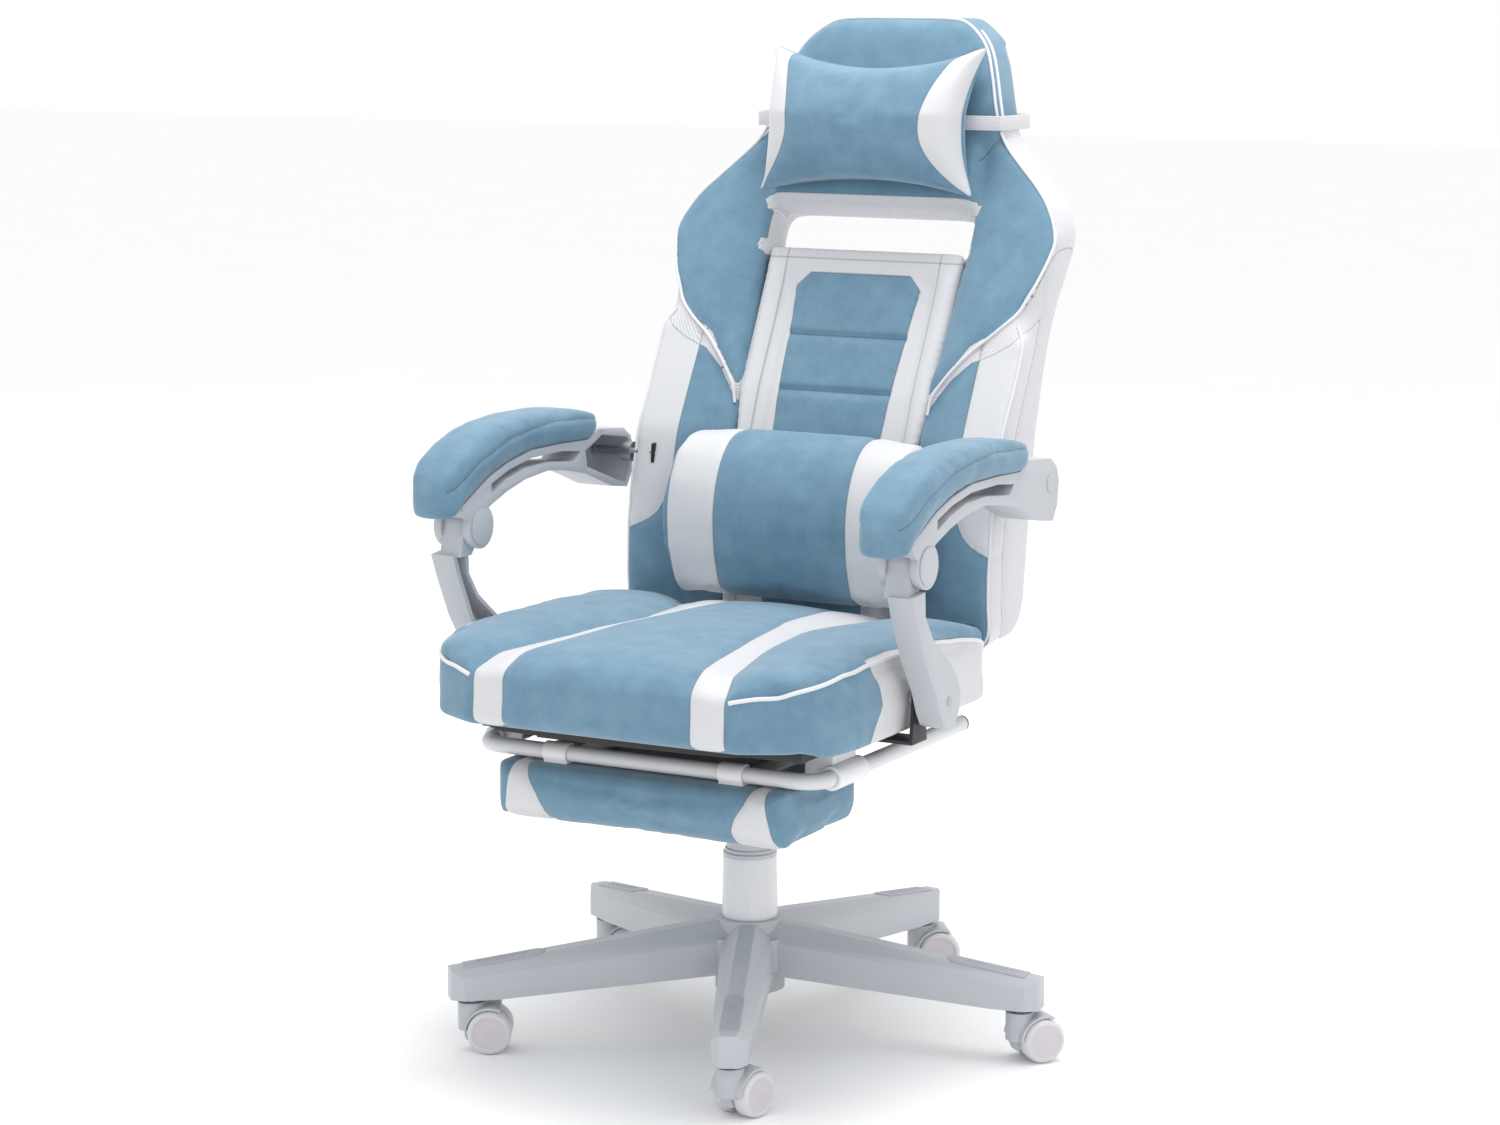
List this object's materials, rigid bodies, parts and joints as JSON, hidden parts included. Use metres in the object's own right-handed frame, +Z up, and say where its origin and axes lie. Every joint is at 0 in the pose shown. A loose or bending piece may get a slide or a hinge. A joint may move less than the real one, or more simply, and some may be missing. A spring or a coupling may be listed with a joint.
{
  "type": "gaming chair",
  "caption": "Swivel chair on a caster star base with gas lift, reclining back, linked folding armrests and a slide-out footrest.",
  "frame": {"origin": "on the floor, under the middle of the gas lift column", "axes": "+Z up, the sitter looks along -Y, +X is the sitter's left"},
  "size_m": [0.6808, 0.778, 1.15],
  "materials": {
    "base_plastic": "satin moulded",
    "tread_plastic": "ribbed moulded",
    "bright_steel": "ground",
    "black_cylinder": "powder coated",
    "white_plastic": "moulded",
    "collar_plastic": "moulded",
    "hood_plastic": "moulded",
    "wheel_pu": "smooth polyurethane",
    "black_plastic": "textured",
    "seat_board": "plywood",
    "blue_fabric": "brushed suede-like",
    "white_leather": "smooth coated",
    "white_mesh": "spacer mesh",
    "elastic_strap": "woven elastic",
    "arm_plastic": "satin moulded",
    "white_tube": "gloss powder coat"
  },
  "bodies": {
    "base": {"star_base": "base_plastic", "tread_plates": "tread_plastic", "caster_stems": "bright_steel", "gas_cylinder": "black_cylinder", "guide_bush": "white_plastic", "thrust_bearing": "bright_steel", "lower_cover": "white_plastic", "cover_collar": "collar_plastic"},
    "spindle": {"piston_rod": "bright_steel"},
    "seat": {"pressure_tube": "bright_steel", "upper_cover": "collar_plastic", "mechanism_plate": "black_cylinder", "seat_frame": "black_cylinder", "seat_board": "seat_board", "seat_cushion": "blue_fabric", "seat_bolsters": "blue_fabric", "rail_sleeves": "white_plastic", "recline_bolts": "bright_steel", "link_bolts": "bright_steel"},
    "release_button": {"release_button": "white_plastic"},
    "height_lever": {"height_lever": "black_plastic"},
    "recline_lever": {"recline_lever": "black_plastic"},
    "backrest": {"back_frame": "black_cylinder", "rear_shell": "white_mesh", "back_centre_pad": "blue_fabric", "back_side_pads": "white_leather", "wing_pads": "blue_fabric", "head_pad": "blue_fabric", "head_pillow": "blue_fabric", "head_strap": "elastic_strap", "lumbar_pillow": "blue_fabric", "arm_pivots": "bright_steel"},
    "footrest_slide": {"footrest_tube": "white_tube", "tube_plugs": "black_plastic"},
    "footrest_pad": {"footrest_hangers": "white_tube", "footrest_pad": "blue_fabric"},
    "link_left": {"link_left": "arm_plastic"},
    "armrest_left": {"arm_beam_left": "arm_plastic", "arm_pad_left": "blue_fabric", "arm_caps_left": "arm_plastic"},
    "link_right": {"link_right": "arm_plastic"},
    "armrest_right": {"arm_beam_right": "arm_plastic", "arm_pad_right": "blue_fabric", "arm_caps_right": "arm_plastic"},
    "caster_1": {"caster_hood_1": "hood_plastic"},
    "wheel_1_left": {"wheel_1_left": "wheel_pu"},
    "wheel_1_right": {"wheel_1_right": "wheel_pu"},
    "caster_2": {"caster_hood_2": "hood_plastic"},
    "wheel_2_left": {"wheel_2_left": "wheel_pu"},
    "wheel_2_right": {"wheel_2_right": "wheel_pu"},
    "caster_3": {"caster_hood_3": "hood_plastic"},
    "wheel_3_left": {"wheel_3_left": "wheel_pu"},
    "wheel_3_right": {"wheel_3_right": "wheel_pu"},
    "caster_4": {"caster_hood_4": "hood_plastic"},
    "wheel_4_left": {"wheel_4_left": "wheel_pu"},
    "wheel_4_right": {"wheel_4_right": "wheel_pu"},
    "caster_5": {"caster_hood_5": "hood_plastic"},
    "wheel_5_left": {"wheel_5_left": "wheel_pu"},
    "wheel_5_right": {"wheel_5_right": "wheel_pu"}
  },
  "joints": [
    {"name": "seat_swivel", "type": "hinge", "parent": "base", "child": "spindle", "pos_m": [0, 0, 0.1], "axis": [0, 0, 1], "continuous": true},
    {"name": "gas_lift", "type": "slide", "parent": "spindle", "child": "seat", "axis": [0, 0, 1], "range_m": [0, 0.07]},
    {"name": "height_lever", "type": "hinge", "parent": "seat", "child": "height_lever", "pos_m": [-0.028, 0, 0.367], "axis": [0, 1, 0], "range_deg": [0, 4], "stiffness_Nm_per_rad": 6, "springref_deg": -4.58},
    {"name": "release_button", "type": "slide", "parent": "seat", "child": "release_button", "axis": [0, 0, -1], "range_m": [0, 0.002]},
    {"name": "recline_lever", "type": "hinge", "parent": "seat", "child": "recline_lever", "pos_m": [-0.2, 0.076, 0.379], "axis": [-1, 0, 0], "range_deg": [0, 20], "stiffness_Nm_per_rad": 0.6, "springref_deg": -22.92},
    {"name": "recline", "type": "hinge", "parent": "seat", "child": "backrest", "pos_m": [0, 0.18, 0.455], "axis": [-1, 0, 0], "range_deg": [0, 35]},
    {"name": "footrest_extend", "type": "slide", "parent": "seat", "child": "footrest_slide", "axis": [0, -1, 0], "range_m": [0, 0.24]},
    {"name": "footrest_flip", "type": "hinge", "parent": "footrest_slide", "child": "footrest_pad", "pos_m": [0, -0.235, 0.361], "axis": [-1, 0, 0], "range_deg": [0, 180]},
    {"name": "link_swing_left", "type": "hinge", "parent": "seat", "child": "link_left", "pos_m": [0.279, -0.104, 0.435], "axis": [-1, 0, 0], "range_deg": [0, 40]},
    {"name": "armrest_swing_left", "type": "hinge", "parent": "link_left", "child": "armrest_left", "pos_m": [0.279, -0.162, 0.59], "axis": [1, 0, 0], "range_deg": [0, 40]},
    {"name": "link_swing_right", "type": "hinge", "parent": "seat", "child": "link_right", "pos_m": [-0.279, -0.104, 0.435], "axis": [-1, 0, 0], "range_deg": [0, 40]},
    {"name": "armrest_swing_right", "type": "hinge", "parent": "link_right", "child": "armrest_right", "pos_m": [-0.279, -0.162, 0.59], "axis": [1, 0, 0], "range_deg": [0, 40]},
    {"name": "caster_swivel_1", "type": "hinge", "parent": "base", "child": "caster_1", "pos_m": [0.13797, -0.29426, 0.05], "axis": [0, 0, 1], "continuous": true},
    {"name": "wheel_spin_1_left", "type": "hinge", "parent": "caster_1", "child": "wheel_1_left", "pos_m": [0.14273, -0.27381, 0.025], "axis": [-0.974, 0.2267, 0], "continuous": true},
    {"name": "wheel_spin_1_right", "type": "hinge", "parent": "caster_1", "child": "wheel_1_right", "pos_m": [0.14273, -0.27381, 0.025], "axis": [-0.974, 0.2267, 0], "continuous": true},
    {"name": "caster_swivel_2", "type": "hinge", "parent": "base", "child": "caster_2", "pos_m": [0.32249, 0.04028, 0.05], "axis": [0, 0, 1], "continuous": true},
    {"name": "wheel_spin_2_left", "type": "hinge", "parent": "caster_2", "child": "wheel_2_left", "pos_m": [0.33542, 0.05683, 0.025], "axis": [-0.788, 0.6157, 0], "continuous": true},
    {"name": "wheel_spin_2_right", "type": "hinge", "parent": "caster_2", "child": "wheel_2_right", "pos_m": [0.33542, 0.05683, 0.025], "axis": [-0.788, 0.6157, 0], "continuous": true},
    {"name": "caster_swivel_3", "type": "hinge", "parent": "base", "child": "caster_3", "pos_m": [0.06134, 0.31916, 0.05], "axis": [0, 0, 1], "continuous": true},
    {"name": "wheel_spin_3_left", "type": "hinge", "parent": "caster_3", "child": "wheel_3_left", "pos_m": [0.07833, 0.3315, 0.025], "axis": [-0.5878, 0.809, 0], "continuous": true},
    {"name": "wheel_spin_3_right", "type": "hinge", "parent": "caster_3", "child": "wheel_3_right", "pos_m": [0.07833, 0.3315, 0.025], "axis": [-0.5878, 0.809, 0], "continuous": true},
    {"name": "caster_swivel_4", "type": "hinge", "parent": "base", "child": "caster_4", "pos_m": [-0.28458, 0.15697, 0.05], "axis": [0, 0, 1], "continuous": true},
    {"name": "wheel_spin_4_left", "type": "hinge", "parent": "caster_4", "child": "wheel_4_left", "pos_m": [-0.26759, 0.16931, 0.025], "axis": [-0.5878, 0.809, 0], "continuous": true},
    {"name": "wheel_spin_4_right", "type": "hinge", "parent": "caster_4", "child": "wheel_4_right", "pos_m": [-0.26759, 0.16931, 0.025], "axis": [-0.5878, 0.809, 0], "continuous": true},
    {"name": "caster_swivel_5", "type": "hinge", "parent": "base", "child": "caster_5", "pos_m": [-0.23722, -0.22215, 0.05], "axis": [0, 0, 1], "continuous": true},
    {"name": "wheel_spin_5_left", "type": "hinge", "parent": "caster_5", "child": "wheel_5_left", "pos_m": [-0.21884, -0.212, 0.025], "axis": [-0.4833, 0.8755, 0], "continuous": true},
    {"name": "wheel_spin_5_right", "type": "hinge", "parent": "caster_5", "child": "wheel_5_right", "pos_m": [-0.21884, -0.212, 0.025], "axis": [-0.4833, 0.8755, 0], "continuous": true}
  ],
  "couplings": [
    {"joint": "release_button", "follows": "height_lever", "m_per_rad": 0.028},
    {"joint": "footrest_flip", "follows": "footrest_extend", "rad_per_m": 13.089},
    {"joint": "link_swing_left", "follows": "recline", "ratio": 1.106},
    {"joint": "armrest_swing_left", "follows": "recline", "ratio": 1.006},
    {"joint": "link_swing_right", "follows": "recline", "ratio": 1.106},
    {"joint": "armrest_swing_right", "follows": "recline", "ratio": 1.006}
  ]
}
